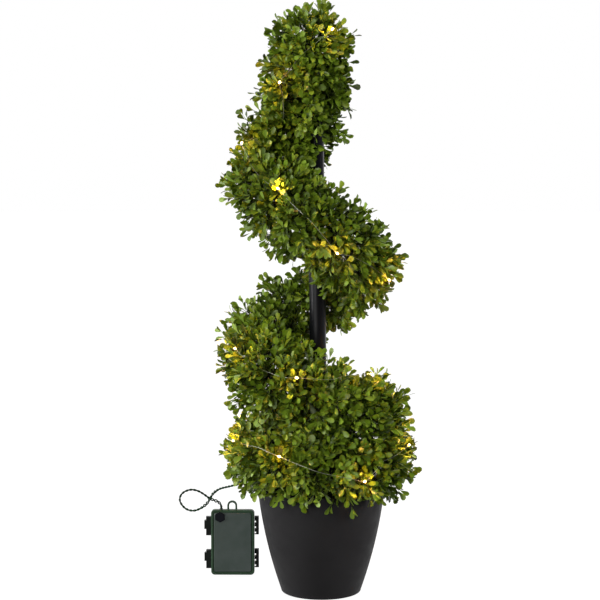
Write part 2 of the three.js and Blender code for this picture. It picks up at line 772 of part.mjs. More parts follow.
function addPlanter() {
  addNode("pot", potGeometry(), finishes.pot);
  addNode("pot_fill", fillGeometry(), finishes.fill);
  addNode("pole", geometryOf(poleSolid(POLE_RADIUS, POLE_FOOT_Z, POLE_TOP_Z)), finishes.pole);
}

function addFoliage() {
  const pot = solidOf(potGeometry());
  const rimOutline = [
    new THREE.Vector2(POT_BASE_RADIUS, POT_FLOOR),
    new THREE.Vector2(POT_RIM_RADIUS + SEAT_GAP, POT_FLOOR),
    new THREE.Vector2(POT_RIM_RADIUS + SEAT_GAP, POT_HEIGHT + SEAT_GAP),
    new THREE.Vector2(POT_BASE_RADIUS, POT_HEIGHT + SEAT_GAP),
  ];
  const rimGap = solidOf(turned([...rimOutline, rimOutline[0]]));
  const poleGap = poleSolid(POLE_RADIUS + SEAT_GAP, POLE_FOOT_Z, POLE_TOP_Z + SEAT_GAP);
  const lead = solidOf(leadGeometry(LEAD_RADIUS + LEAF_CLEARANCE));
  const solids = massSolids({
    gaps: [poleGap, rimGap, sleeveSolid(SEAT_GAP)],
    obstacles: [poleGap, pot, lead, sleeveSolid(SEAT_GAP)].map(withBox),
  });
  solids.forEach((solid, index) => {
    const number = String(index + 1).padStart(2, "0");
    addNode(`spiral_mass_${number}`, geometryOf(solid), finishes.leaves);
  });
}

function addBatteryBox() {
  addNode("box_case", caseGeometry(), finishes.box);
  addNode("box_cover", coverGeometry(), finishes.box);
  addNode("box_button", buttonGeometry(), finishes.darkPlastic);
  LATCHES.forEach((latch) => addNode(latch.name, latchGeometry(latch), finishes.darkPlastic));
  HINGES.forEach((hinge) => addNode(hinge.name, hingeGeometry(hinge), finishes.darkPlastic));
  addNode("box_loop", loopGeometry(), finishes.box);
}

function addLead() {
  addNode("lead_gland", glandGeometry(), finishes.darkPlastic);
  addNode("light_lead", leadGeometry(LEAD_RADIUS), finishes.lead);
  addNode("lead_sleeve", geometryOf(sleeveSolid(0)), finishes.darkPlastic);
}

addPlanter();
addFoliage();
addBatteryBox();
addLead();

export default topiary;
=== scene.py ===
import math

import bpy
import numpy as np
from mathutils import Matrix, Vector


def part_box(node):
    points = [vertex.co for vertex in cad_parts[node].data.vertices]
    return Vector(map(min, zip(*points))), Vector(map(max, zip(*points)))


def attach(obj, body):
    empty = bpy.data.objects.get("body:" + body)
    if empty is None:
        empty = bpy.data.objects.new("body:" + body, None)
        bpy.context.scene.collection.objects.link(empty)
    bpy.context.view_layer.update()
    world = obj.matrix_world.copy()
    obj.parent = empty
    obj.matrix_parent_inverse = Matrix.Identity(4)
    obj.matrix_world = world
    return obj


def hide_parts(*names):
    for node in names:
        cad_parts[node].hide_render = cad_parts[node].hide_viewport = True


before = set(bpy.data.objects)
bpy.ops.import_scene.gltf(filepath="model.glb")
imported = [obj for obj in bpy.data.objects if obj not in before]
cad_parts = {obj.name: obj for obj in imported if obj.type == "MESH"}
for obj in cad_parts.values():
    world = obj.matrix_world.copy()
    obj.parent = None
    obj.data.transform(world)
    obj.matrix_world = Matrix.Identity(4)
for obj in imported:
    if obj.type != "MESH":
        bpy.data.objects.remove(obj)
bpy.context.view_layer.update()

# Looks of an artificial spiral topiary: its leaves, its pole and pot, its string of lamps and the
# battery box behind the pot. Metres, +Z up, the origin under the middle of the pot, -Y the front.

MM = 0.001
GOLDEN_ANGLE = math.pi * (3 - math.sqrt(5))
SMALLEST_LENGTH = 1e-12
# Share of upright past which an axis is crossed with +Y instead of +Z
STEEP_SHARE = 0.9

# Camera at the photograph's angle
CAMERA_EYE = (0.0, -2.3, 0.60)
CAMERA_AIM = (-0.03216715, 0.0, 0.44514470)
CAMERA_LENS = 91.467
CAMERA_SENSOR = 36

# Lead: a twisted pair from its sleeve in the leaves, round a loose loop, to the box's gland
LEAD_ROUTE = np.array([
    (-119, 10.6, 167.8), (-127, 14.2, 161.8), (-136.6, 19.6, 157.4), (-146.4, 27, 153.8),
    (-157.6, 36, 149), (-167.2, 43.6, 141.4), (-172.6, 48, 132.4), (-177.4, 51.8, 124.4),
    (-184.4, 55.6, 117.4), (-191.8, 58.8, 112.4), (-200, 61.8, 109.6), (-209, 64.8, 110.3),
    (-216.4, 68.5, 114.4), (-221.6, 72, 120.8), (-222.6, 74.5, 127), (-219.9, 77.5, 132.8),
    (-213.6, 80.5, 137), (-204.4, 83.5, 138.6), (-194.6, 86.2, 135.9), (-185.9, 88.5, 130.4),
    (-176.7, 91, 123.2), (-167, 93.6, 118.6), (-162, 95.6, 115.2), (-159.7, 96.6, 111.8),
    (-158.9, 97, 109), (-158.8, 97, 106.9),
]) * MM
LEAD_CURVE_STEPS = 8
LEAD_SPACING = 0.8 * MM
LEAD_CLEARANCE = 3 * MM
STRAND_RADIUS = 1.0 * MM
STRAND_SIDES = 10
STRAND_SPREAD = 0.8 * MM
STRAND_TWIST = 13 * MM
# Stretches where the two strands part: share of the lead's length, half length, extra spread
STRAND_OPENINGS = [(0.27, 0.03, 0.7 * MM), (0.385, 0.04, 0.9 * MM), (0.935, 0.045, 1.0 * MM)]

# Pot, with the points of its outline at the foot, outside, lip and inside
POT_HEIGHT = 161 * MM
POT_BASE_RADIUS = 59.8 * MM
POT_RIM_RADIUS = 97 * MM
POT_BULGE = 4.9 * MM
POT_WALL = 3 * MM
POT_FLOOR = 4 * MM
POT_CORNER = 4 * MM
POT_RIM_EASE = 0.8 * MM
POT_SIDES = 144
POT_CORNER_POINTS = 8
POT_OUTER_POINTS = 48
POT_LIP_POINTS = 4
POT_INNER_POINTS = 24

# Pole
POLE_RADIUS = 12.5 * MM
POLE_FOOT_Z = 24 * MM
POLE_TOP_Z = 780 * MM
POLE_LEAN = 0.013
POLE_SIDES = 64
POLE_RINGS = 260
POLE_RELIEF = 0.05 * MM
# Waves of its paint: how many go round it, and radians for each metre up it
POLE_WAVES = [(3, 40), (7, -95)]

# Spiral: the leafy roll's centre line, by the angle turned, in degrees, from its top down
ROLL_TOP_ANGLE = -67
ROLL_FOOT_ANGLE = 1080
ROLL_END_ANGLE = 1170
ROLL_PITCH = 273.5 * MM
ROLL_REST_Z = 207 * MM
ROLL_REST_ANGLE = 746.6
ROLL_SETTLE_ANGLE = 78
ROLL_UPPER_OFFSET = 71.8 * MM
ROLL_LOWER_OFFSET = 82.5 * MM
ROLL_UNWIND_ANGLE = 414
ROLL_AXIS_X = 8.3 * MM
ROLL_LEAN = 0.0598
ROLL_TIP_RETURN = 31.8 * MM
ROLL_TIP_RETURN_Z = 744 * MM
ROLL_TIP_RETURN_RISE = 120 * MM

# Roll's radius to the leaf tips at its top, its widest, its waist and its foot
ROLL_TOP_RADIUS = 64.6 * MM
ROLL_WIDEST_RADIUS = 69.7 * MM
ROLL_WAIST_RADIUS = 66.1 * MM
ROLL_WAIST_ANGLE = 720
ROLL_FOOT_RADIUS = 68.9 * MM
ROLL_SWELL_ANGLE = 76

# Twigs of a mass: side twigs off the bough, each with a fan of sprays
MASS_COUNT = 12
TWIGS_PER_MASS = 118
SPRAYS_PER_TWIG = 4
TWIG_OUTWARD = 0.4
# Shortest and longest, in shares of the roll's radius
TWIG_REACH = (0.86, 1.12)
# Every so many twigs comes a short one, which fills the inside
INNER_TWIG_EVERY = 3
INNER_TWIG_REACH = (0.42, 0.82)
GROOVE_FILL = 0.85
TWIG_TILT = 0.5
CROWN_TIP = np.array((2, -4, 899)) * MM
CROWN_TWIGS = 27
BOUGH_RADIUS = 3.6 * MM
BOUGH_SIDES = 8
BOUGH_POINTS = 24
BOUGH_CLEARANCE = 0.3 * MM
TWIG_FORK = 0.42
TWIG_ROOT_RADIUS = 1.3 * MM
TWIG_FORK_RADIUS = 0.9 * MM
TWIG_POINTS = 3
TWIG_SIDES = 3
SPRAY_TIP_RADIUS = 0.35 * MM
SPRAY_FAN = 0.17
SPRAY_BOW = 0.07
SPRAY_POINTS = 5
SPRAY_SHORTEST = 0.72
STRAY_SHARE = 0.2
STRAY_REACH = 13 * MM
# How wide a spray stands off its twig: least share of the fan, and what chance adds
SPRAY_FAN_SHARE = (0.55, 0.75)
# The first spray of each twig, which carries the twig on
MAIN_SPRAY_FAN = 0.3
MAIN_SPRAY_SHORTEST = 0.96
FOLIAGE_SEED = 100
# Even steps that look scattered
SCATTER_STEP = 12.9898
SCATTER_SEED_STEP = 78.233
SCATTER_SPREAD = 43758.5453
# Angle between the points that tell one turn of the roll from another
TURN_STEP = 5.0
# Points of a line looked at in one go
LINE_BATCH = 200
# Sprays that stand out past the rest, and a few short ones that close thin places: angle turned, azimuth
# faced and tilt along the roll, in degrees, and share of the roll's radius
LOOSE_SPRAYS = [
    (-67, -70, -83, 1.11), (-67, -25, -75, 1.06), (-67, 0, -30, 1.15), (-67, -174, -19, 1.05),
    (-50, 0, -6, 1.13), (11, 0, 0, 1.17), (21, 183, 0, 1.16), (78, 0, 0, 1.09), (107, 186, 0, 1.22),
    (133, 193, 0, 1.35), (200, 187, 0, 1.11), (478, 552, 0, 1.16), (682, 755, 0, 1.15),
    (690, 757, 0, 1.19), (708, 748, 0, 1.14), (750, 665, 0, 0.60), (755, 645, 0, 0.65),
    (759, 690, 0, 0.60), (763, 655, 0, 0.60), (925, 869, 0, 1.10), (980, 903, 0, 1.03),
    (1021, 945, 0, 1.13), (1065, 1017, 0, 1.09), (1118, 1180, 0, 0.60), (1122, 1200, 0, 0.65),
    (1127, 1160, 0, 0.60),
]

# Leaves of a spray: pairs down from its tip, each pair turned a quarter from the last
LEAF_LENGTH = 20 * MM
LEAF_HALF_WIDTH = 4.25 * MM
PAIR_DEPTHS = np.array((0, 8.5, 17, 26, 35, 44)) * MM
PAIR_TILTS = np.array((0.38, 0.74, 0.94, 1.05, 1.1, 1.15))
PAIR_SIZES = np.array((0.9, 1.0, 1.0, 1.0, 1.0, 0.95))
# Pairs with a folded leaf; the pairs below them have a plain one, and one green deeper as painted shade
FINE_PAIRS = 4
LEAF_CLEARANCE = 1.2 * MM
LEAF_MIDDLE = 0.6
# Share of a leaf that reaches past the end of its stem
LEAF_PAST_STEM = 0.7
# Share of the stem at its foot that stays bare
STEM_BARE = 0.02
# What chance moves, over this width: a pair along its stem, a leaf's turn, its tilt and its roll
PAIR_NUDGE = 2 * MM
LEAF_TURN = 0.5
LEAF_TILT = 0.42
LEAF_ROLL = 1.9
# Least value and what chance adds: a leaf's size, breadth, fold and curl
LEAF_SIZE = (0.82, 0.36)
LEAF_BREADTH = (0.78, 0.36)
LEAF_FOLD = (0.15, 0.40)
LEAF_CURL = (-0.06, 0.28)
# Outline of a leaf, folded or plain: share of its length, share of its half width
LEAF_STATIONS = [(0.30, 0.13), (0.52, 0.60), (0.74, 1.0), (0.92, 0.78)]
PLAIN_STATIONS = [(0.25, 0.2), (0.60, 1.0), (0.88, 0.72)]
# Points across a leaf, in half widths: a plain one has none on its middle, so that it has no fold
LEAF_COLUMNS = (1, 0, -1)
PLAIN_COLUMNS = (1, -1)

# Greens of the leaves, darkest first, with the strength of their gloss; dealt out by spray
LEAF_GREENS = [
    ("leaf_deep", (0.023, 0.042, 0.0026), 0.20),
    ("leaf_dark", (0.045, 0.075, 0.0037), 0.22),
    ("leaf_middle", (0.073, 0.117, 0.0058), 0.25),
    ("leaf_fresh", (0.099, 0.159, 0.0080), 0.30),
    ("leaf_olive", (0.138, 0.188, 0.0122), 0.35),
    ("leaf_bright", (0.158, 0.240, 0.0170), 0.45),
]
# How often a spray takes each green: mostly a middling one
GREEN_SHARES = (0.06, 0.17, 0.29, 0.24, 0.14, 0.10)
# Share of the leaves at a spray's tip that are a green lighter, and of the inner ones, from a pair on, that
# are one green deeper as painted shade of the foliage's inside
LIGHTER_SHARE = 0.5
PAINTED_SHADE_SHARE = 0.6
PAINTED_SHADE_FROM_PAIR = 2

# Lamps on their wire: angle turned down the roll and the way out from its centre line, in degrees
LAMPS_ROUND_THE_FOOT = [
    (876, 916), (928, 953), (968, 984), (1017, 1004), (1056, 1078), (1120, 1140), (1160, 1190),
]
LAMPS_UP_THE_ROLL = [
    (822, 838), (770, 820), (722, 782), (667, 729), (615, 640), (567, 597), (528, 534), (484, 499),
    (438, 438), (392, 372), (345, 310), (300, 271), (250, 274), (185, 237), (1, 242), (-97, 295),
]
# Bends of the wire between its lamps: the same angles, and share of the roll's radius
WIRE_BENDS = [
    (278, 276, 1.0), (583, 604, 0.72), (600, 623, 0.7), (608, 632, 0.8), (634, 667, 1.05), (642, 686, 1.04),
    (953, 977, 1.03), (991, 991, 1.04), (1036, 1042, 0.7),
]
STRING_SEED = 5
WIRE_RADIUS = 0.28 * MM
WIRE_SIDES = 6
WIRE_CLEARANCE = 0.8 * MM
WIRE_SUNK_DEPTH = 0.78
WIRE_WANDER = 0.02
WIRE_DIP_ANGLE = 22
WIRE_DIP_POWER = 0.4
WIRE_STEP_ANGLE = 12
WIRE_LEAST_STEPS = 3
WIRE_CURVE_STEPS = 4
WIRE_SPACING = 1.5 * MM
LAMP_DEPTH = 1.02
LAMP_LENGTH = 5.2 * MM
LAMP_RADIUS = 1.9 * MM
LAMP_POINTS = 9
LAMP_SIDES = 10
# Squared share of the radius that is left at a lamp's two ends
LAMP_END = 0.02
# Clear way out of the leaves in front of each lamp: its reach and half width
LAMP_OPENING_REACH = 16 * MM
LAMP_OPENING_HALF_WIDTH = 3.2 * MM
LAMP_OPENING_POINTS = 9
# Lights that each lamp throws on the leaves: how far out from it, and power
LAMP_GLOWS = [(9 * MM, 0.045), (3.5 * MM, 0.05), (-4 * MM, 0.035)]
LAMP_COLOUR = (1.0, 0.46, 0.09)

# Plate let into the battery box's cover
PANEL_INSET = 4.9 * MM
PANEL_SEAT = 0.68 * MM
PANEL_THICKNESS = 0.96 * MM
PANEL_EDGE_WIDTH = 0.8 * MM
PANEL_EDGE_DEPTH = 0.6 * MM
PANEL_CORNER = 3.5 * MM
PANEL_CORNER_POINTS = 8

# Colours that each material drifts between
TWIG_BROWNS = ((0.008, 0.010, 0.003), (0.030, 0.032, 0.014))
POT_GREYS = ((0.0126, 0.0121, 0.0127), (0.0150, 0.0145, 0.0150))
CEMENT_GREYS = ((0.16, 0.155, 0.145), (0.30, 0.29, 0.27))
POLE_BLACKS = ((0.0030, 0.0032, 0.0040), (0.0050, 0.0050, 0.0062))
WIRE_SILVERS = ((0.30, 0.31, 0.24), (0.50, 0.50, 0.42))
# Moulded plastics: their two colours, least and greatest roughness, and gloss
PLASTICS = {
    "green_jacket": ((0.0012, 0.0130, 0.0030), (0.0022, 0.0200, 0.0050), 0.45, 0.6, 0.08),
    "green_plastic": ((0.0134, 0.0315, 0.0152), (0.0176, 0.0405, 0.0203), 0.38, 0.52, 0.2),
    "panel_plastic": ((0.036, 0.048, 0.0415), (0.045, 0.056, 0.0515), 0.30, 0.42, 0.2),
    "black_plastic": ((0.0020, 0.0032, 0.0024), (0.0040, 0.0062, 0.0046), 0.40, 0.55, 0.12),
    "button_rubber": ((0.0016, 0.0020, 0.0040), (0.0026, 0.0030, 0.0056), 0.5, 0.65, 0.1),
    "gland_plastic": ((0.0025, 0.0050, 0.0032), (0.0045, 0.0085, 0.0058), 0.4, 0.55, 0.12),
}
# Gloss of a surface that has no other
PLAIN_GLOSS = 0.5
# Stretch of a noise value that is spread over a range, and that two colours are mixed over
SPREAD_FROM = (0.3, 0.7)
MIX_FROM = (0.35, 0.65)

# Stage
FLOOR_RADIUS = 60
FLOOR_SIDES = 96
# World's fill light from in front and from behind, and the way's Y at which it starts to grow
FILL_FRONT = 0.12
FILL_BACK = 2.0
FILL_START = -0.2
# Studio lights: name, kind, power, place and settings, all aimed at the plant's middle
LIGHT_TARGET = (0, 0, 0.42)
STUDIO_LIGHTS = [
    ("key", "SUN", 1.37, (-0.9, -2.0, 1.05), {"angle": math.radians(20)}),
    ("left_softbox", "AREA", 45, (-1.9, -0.4, 0.8), {"shape": "RECTANGLE", "size": 0.6, "size_y": 1.5}),
    ("right_softbox", "AREA", 62, (1.9, -0.4, 0.8), {"shape": "RECTANGLE", "size": 0.6, "size_y": 1.5}),
    ("front_softbox", "AREA", 25, (-1.25, -1.8, 0.6), {"shape": "RECTANGLE", "size": 1.3, "size_y": 1.4}),
]


# Meshes from arrays


def mesh_piece(name, points, triangles, materials, shades=None, smooth=True):
    """A piece from points and triangles, its material slots, and the slot of each triangle."""
    mesh = bpy.data.meshes.new(name)
    mesh.vertices.add(len(points))
    mesh.vertices.foreach_set("co", np.asarray(points, np.float32).ravel())
    mesh.loops.add(len(triangles) * 3)
    mesh.loops.foreach_set("vertex_index", np.asarray(triangles, np.int32).ravel())
    mesh.polygons.add(len(triangles))
    mesh.polygons.foreach_set("loop_start", np.arange(len(triangles), dtype=np.int32) * 3)
    mesh.polygons.foreach_set("use_smooth", np.full(len(triangles), smooth))
    if shades is not None:
        mesh.polygons.foreach_set("material_index", np.asarray(shades, np.int32))
    mesh.update(calc_edges=True)
    mesh.validate()
    for material in materials:
        mesh.materials.append(material)
    piece = bpy.data.objects.new(name, mesh)
    bpy.context.scene.collection.objects.link(piece)
    return piece


def unit(vectors):
    return vectors / np.maximum(np.linalg.norm(vectors, axis=-1, keepdims=True), SMALLEST_LENGTH)


def cross_directions(axes):
    """Two directions square to each axis, so that across, up and the axis are right-handed."""
    guide = np.where(np.abs(axes[..., 2:]) < STEEP_SHARE, (0.0, 0.0, 1.0), (0.0, 1.0, 0.0))
    across = unit(np.cross(guide, axes))
    return across, np.cross(axes, across)


def turned(first, second, angle):
    """Directions at an angle from the first towards the second."""
    return first * np.cos(angle)[..., None] + second * np.sin(angle)[..., None]


def full_circle(sides):
    return 2 * math.pi * np.arange(sides) / sides


def ring_walls(rings, sides):
    """Triangles between rings of points that follow one another."""
    side = np.arange(sides)
    after = (side + 1) % sides
    walls = []
    for low in range(0, (rings - 1) * sides, sides):
        high = low + sides
        walls.append(np.stack([low + side, low + after, high + after], -1))
        walls.append(np.stack([low + side, high + after, high + side], -1))
    return walls


def closed_rings(rings, sides):
    """Triangles of a solid of rings whose two ends close on the two points that come after them."""
    side = np.arange(sides)
    after = (side + 1) % sides
    last = (rings - 1) * sides
    end = rings * sides
    caps = [
        np.stack([np.full_like(side, end), after, side], -1),
        np.stack([np.full_like(side, end + 1), last + side, last + after], -1),
    ]
    return np.concatenate(ring_walls(rings, sides) + caps)


def tubes(lines, radii, sides):
    """Closed tubes along lines (n, points, 3), with one radius or one for each point along them."""
    count, steps, _ = lines.shape
    along = unit(np.gradient(lines, axis=1))
    across, up = cross_directions(along)
    turn = full_circle(sides)
    radii = np.broadcast_to(radii, (count, steps))[:, :, None, None]
    rings = (
        lines[:, :, None]
        + radii * np.cos(turn)[:, None] * across[:, :, None]
        + radii * np.sin(turn)[:, None] * up[:, :, None]
    )
    walls = ring_walls(steps, sides)
    fan = np.arange(1, sides - 1)
    last = (steps - 1) * sides
    walls.append(np.stack([np.zeros_like(fan), fan + 1, fan], -1))
    walls.append(np.stack([np.full_like(fan, last), last + fan, last + fan + 1], -1))
    one = np.concatenate(walls)
    triangles = one[None] + (np.arange(count) * steps * sides)[:, None, None]
    return rings.reshape(-1, 3), triangles.reshape(-1, 3)


def joined(parts):
    """Several lots of points and triangles as one."""
    starts = np.cumsum([0] + [len(points) for points, _ in parts[:-1]])
    points = np.concatenate([points for points, _ in parts])
    triangles = np.concatenate([faces + start for (_, faces), start in zip(parts, starts)])
    return points, triangles


def smooth_route(knots, steps):
    """Points on a smooth curve through the knots, steps to each stretch."""
    ends = np.concatenate([[2 * knots[0] - knots[1]], knots, [2 * knots[-1] - knots[-2]]])
    share = (np.arange(steps) / steps)[:, None]
    runs = []
    for before, start, end, after in zip(ends, ends[1:], ends[2:], ends[3:]):
        runs.append(0.5 * (
            2 * start + (end - before) * share
            + (2 * before - 5 * start + 4 * end - after) * share**2
            + (3 * start - 3 * end + after - before) * share**3
        ))
    return np.concatenate([*runs, knots[-1:]])


def even_route(points, spacing):
    """The same route with points at even distances."""
    along = np.concatenate([[0], np.cumsum(np.linalg.norm(np.diff(points, axis=0), axis=1))])
    wanted = np.linspace(0, along[-1], max(2, round(along[-1] / spacing)) + 1)
    return np.stack([np.interp(wanted, along, points[:, axis]) for axis in range(3)], -1)


def route_length(points):
    return np.linalg.norm(np.diff(points, axis=0), axis=1).sum()


def carried_sides(points):
    """Across and up directions along a route, carried on without twisting."""
    along = unit(np.gradient(points, axis=0))
    across = [cross_directions(along[:1])[0][0]]
    for way in along[1:]:
        kept = across[-1] - way * (across[-1] @ way)
        across.append(kept / np.linalg.norm(kept))
    across = np.array(across)
    return across, np.cross(along, across)


def vary(random, count, least, extra):
    """Chance values from least up, with up to extra on top."""
    return least + extra * random.random(count)


def swing(random, count, width):
    """Chance values about nought, over a width."""
    return width * (random.random(count) - 0.5)


def closed_lathe(outline, sides):
    """Solid of revolution of an outline of (radius, height) that starts and ends on the axis."""
    turn = full_circle(sides)
    middle = np.array(outline[1:-1])
    rings = np.stack([
        middle[:, :1] * np.cos(turn),
        middle[:, :1] * np.sin(turn),
        np.repeat(middle[:, 1:], sides, axis=1),
    ], -1)
    points = np.concatenate([rings.reshape(-1, 3), [(0, 0, outline[0][1])], [(0, 0, outline[-1][1])]])
    return points, closed_rings(len(middle), sides)


# Materials


def new_material(name):
    material = bpy.data.materials.new(name)
    material.use_nodes = True
    return material, material.node_tree, material.node_tree.nodes["Principled BSDF"]


def new_node(tree, kind, values):
    """A node of a kind, with its inputs set."""
    return put(tree.nodes.new("ShaderNode" + kind), values)


def put(node, values):
    """Set inputs of a node."""
    for name, value in values.items():
        node.inputs[name].default_value = value
    return node


def noise(tree, size, detail=2.0, stretch=(1, 1, 1)):
    """Noise by place on the object, with features about that size in metres."""
    place = new_node(tree, "TexCoord", {})
    scaled = new_node(tree, "Mapping", {"Scale": stretch})
    texture = new_node(tree, "TexNoise", {"Scale": 1 / size, "Detail": detail})
    tree.links.new(place.outputs["Object"], scaled.inputs["Vector"])
    tree.links.new(scaled.outputs["Vector"], texture.inputs["Vector"])
    return texture.outputs["Fac"]


def spread(tree, value, low, high):
    """A noise value stretched to run from low to high."""
    start, end = SPREAD_FROM
    ramp = new_node(tree, "MapRange", {"From Min": start, "From Max": end, "To Min": low, "To Max": high})
    tree.links.new(value, ramp.inputs["Value"])
    return ramp.outputs["Result"]


def between(tree, value, colours):
    """Colour that a noise value mixes from two."""
    ramp = new_node(tree, "ValToRGB", {})
    for stop, position, colour in zip(ramp.color_ramp.elements, MIX_FROM, colours):
        stop.position = position
        stop.color = (*colour, 1)
    tree.links.new(value, ramp.inputs["Fac"])
    return ramp.outputs["Color"]


def add_bump(tree, shader, value, height):
    bump = new_node(tree, "Bump", {"Strength": 1.0, "Distance": height})
    tree.links.new(value, bump.inputs["Height"])
    tree.links.new(bump.outputs["Normal"], shader.inputs["Normal"])


def surface(name, drift, colours, gloss, roughness, grain, relief):
    """Colour that drifts with noise, and roughness too where it has a noise and a range."""
    material, tree, shader = new_material(name)
    tree.links.new(between(tree, noise(tree, *drift), colours), shader.inputs["Base Color"])
    put(shader, {"Specular IOR Level": gloss})
    if isinstance(roughness, tuple):
        patches, low, high = roughness
        tree.links.new(spread(tree, noise(tree, *patches), low, high), shader.inputs["Roughness"])
    else:
        put(shader, {"Roughness": roughness})
    add_bump(tree, shader, noise(tree, *grain), relief)
    return material


def leaf_material(name, colour, gloss):
    """Moulded leaf plastic: one base colour, satin gloss that varies, and a fine uneven skin."""
    material, tree, shader = new_material(name)
    put(shader, {"Base Color": (*colour, 1), "Specular IOR Level": gloss})
    tree.links.new(spread(tree, noise(tree, 6 * MM), 0.28, 0.55), shader.inputs["Roughness"])
    add_bump(tree, shader, noise(tree, 1.6 * MM, 3), 0.25 * MM)
    return material


def twig_material():
    """Dark olive-brown stem plastic."""
    return surface(
        "twig_plastic", drift=(9 * MM,), colours=TWIG_BROWNS, gloss=0.15,
        roughness=0.6, grain=(1.2 * MM,), relief=0.2 * MM,
    )


def pot_material():
    """Matte anthracite plastic with a fine moulded grain."""
    return surface(
        "anthracite_plastic", drift=(60 * MM, 4), colours=POT_GREYS, gloss=0.07,
        roughness=((14 * MM, 4), 0.58, 0.72), grain=(0.9 * MM, 4), relief=0.08 * MM,
    )


def cement_material():
    """Grey cast filling, speckled and rough."""
    return surface(
        "cast_cement", drift=(3 * MM, 6), colours=CEMENT_GREYS, gloss=PLAIN_GLOSS,
        roughness=0.92, grain=(2.5 * MM, 6), relief=0.6 * MM,
    )


def pole_material():
    """Black gloss paint with a faint orange-peel skin and dull patches."""
    return surface(
        "black_gloss_paint", drift=(30 * MM, 4, (1, 1, 0.2)), colours=POLE_BLACKS, gloss=0.10,
        roughness=((12 * MM, 5, (1, 1, 0.15)), 0.24, 0.38), grain=(1.5 * MM, 2), relief=0.02 * MM,
    )


def moulded_plastic(name):
    """Moulded plastic whose colour and gloss drift a little, with a fine grain."""
    first, second, low, high, gloss = PLASTICS[name]
    return surface(
        name, drift=(22 * MM, 3), colours=(first, second), gloss=gloss,
        roughness=((9 * MM, 4), low, high), grain=(0.7 * MM, 3), relief=0.03 * MM,
    )


def wire_material():
    """Bright drawn wire."""
    material = surface(
        "silver_wire", drift=(5 * MM,), colours=WIRE_SILVERS, gloss=PLAIN_GLOSS,
        roughness=0.35, grain=(1 * MM,), relief=0.02 * MM,
    )
    put(material.node_tree.nodes["Principled BSDF"], {"Metallic": 0.85})
    return material


def lamp_material():
    """Lit clear resin drop, warm white."""
    material, tree, shader = new_material("lit_lamp")
    put(shader, {"Base Color": (0.9, 0.8, 0.55, 1), "Roughness": 0.15})
    put(shader, {"Emission Color": (1.0, 0.76, 0.32, 1), "Emission Strength": 1.9})
    add_bump(tree, shader, noise(tree, 1 * MM), 0.05 * MM)
    return material


# Camera


def aimed(name, data, place, target):
    """Camera or light that looks from its place at a target."""
    thing = bpy.data.objects.new(name, data)
    thing.location = place
    toward = Vector(target) - Vector(place)
    thing.rotation_euler = toward.to_track_quat("-Z", "Y").to_euler()
    bpy.context.scene.collection.objects.link(thing)
    return thing


def add_camera():
    lens = bpy.data.cameras.new("camera")
    lens.sensor_width = CAMERA_SENSOR
    lens.lens = CAMERA_LENS
    bpy.context.scene.camera = aimed("camera", lens, CAMERA_EYE, CAMERA_AIM)


# Lead


def strand_spread(share):
    """Distance of each strand from the lead's middle, more where the pair has come apart."""
    extra = sum(
        gap * np.exp(-(((share - middle) / half) ** 2)) for middle, half, gap in STRAND_OPENINGS
    )
    return STRAND_SPREAD + extra


def add_lead():
    route = even_route(smooth_route(LEAD_ROUTE, LEAD_CURVE_STEPS), LEAD_SPACING)
    across, up = carried_sides(route)
    share = np.linspace(0, 1, len(route))
    turn = 2 * math.pi * route_length(route) / STRAND_TWIST * share
    apart = strand_spread(share)[:, None]
    parts = []
    for start in (0, math.pi):
        line = route + apart * turned(across, up, turn + start)
        parts.append(tubes(line[None], STRAND_RADIUS, STRAND_SIDES))
    lead = mesh_piece("light_string_lead", *joined(parts), [moulded_plastic("green_jacket")])
    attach(lead, "root")
    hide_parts("light_lead")


# The spiral's centre line and radius


def smooth_step(value):
    share = np.clip(value, 0, 1)
    return share * share * (3 - 2 * share)


def lerp(low, high, share):
    return low + (high - low) * share


def roll_height(angle):
    above = np.exp((ROLL_REST_ANGLE - angle) / ROLL_SETTLE_ANGLE)
    return ROLL_REST_Z + ROLL_PITCH * ROLL_SETTLE_ANGLE / 360 * np.log(1 + above)


def roll_offset(angle):
    full = lerp(ROLL_UPPER_OFFSET, ROLL_LOWER_OFFSET, np.clip(angle / ROLL_FOOT_ANGLE, 0, 1))
    return full * smooth_step((angle - ROLL_TOP_ANGLE) / ROLL_UNWIND_ANGLE)


def roll_radius(angle):
    to_waist = np.clip(angle / ROLL_WAIST_ANGLE, 0, 1)
    to_foot = np.maximum(0, (angle - ROLL_WAIST_ANGLE) / (ROLL_END_ANGLE - ROLL_WAIST_ANGLE))
    upper = lerp(ROLL_WIDEST_RADIUS, ROLL_WAIST_RADIUS, to_waist)
    full = lerp(upper, ROLL_FOOT_RADIUS, to_foot)
    return lerp(ROLL_TOP_RADIUS, full, smooth_step((angle - ROLL_TOP_ANGLE) / ROLL_SWELL_ANGLE))


def roll_centre(angle):
    turn = np.radians(angle)
    z = roll_height(angle)
    back = ROLL_TIP_RETURN * smooth_step((z - ROLL_TIP_RETURN_Z) / ROLL_TIP_RETURN_RISE)
    offset = roll_offset(angle)
    axis_x = ROLL_AXIS_X - ROLL_LEAN * z + back
    return np.stack([axis_x + offset * np.cos(turn), offset * np.sin(turn), z], -1)


def roll_frame(angle):
    """Centre, way down the roll, way out from the pole and way square to both."""
    turn = np.radians(angle)
    down = unit(roll_centre(angle + 1) - roll_centre(angle - 1))
    out = np.stack([np.cos(turn), np.sin(turn), np.zeros_like(turn)], -1)
    out = unit(out - down * (out * down).sum(-1, keepdims=True))
    return roll_centre(angle), down, out, np.cross(down, out)


def roll_place(angle, azimuth, depth):
    """Place at a share of the roll's radius, on the side that faces an azimuth."""
    centre, _, out, side = roll_frame(angle)
    direction = turned(out, side, np.radians(angle - azimuth))
    return centre + direction * (depth * roll_radius(angle))[..., None]


def pole_centre(z):
    return np.stack([-POLE_LEAN * z, np.zeros_like(z), z], -1)


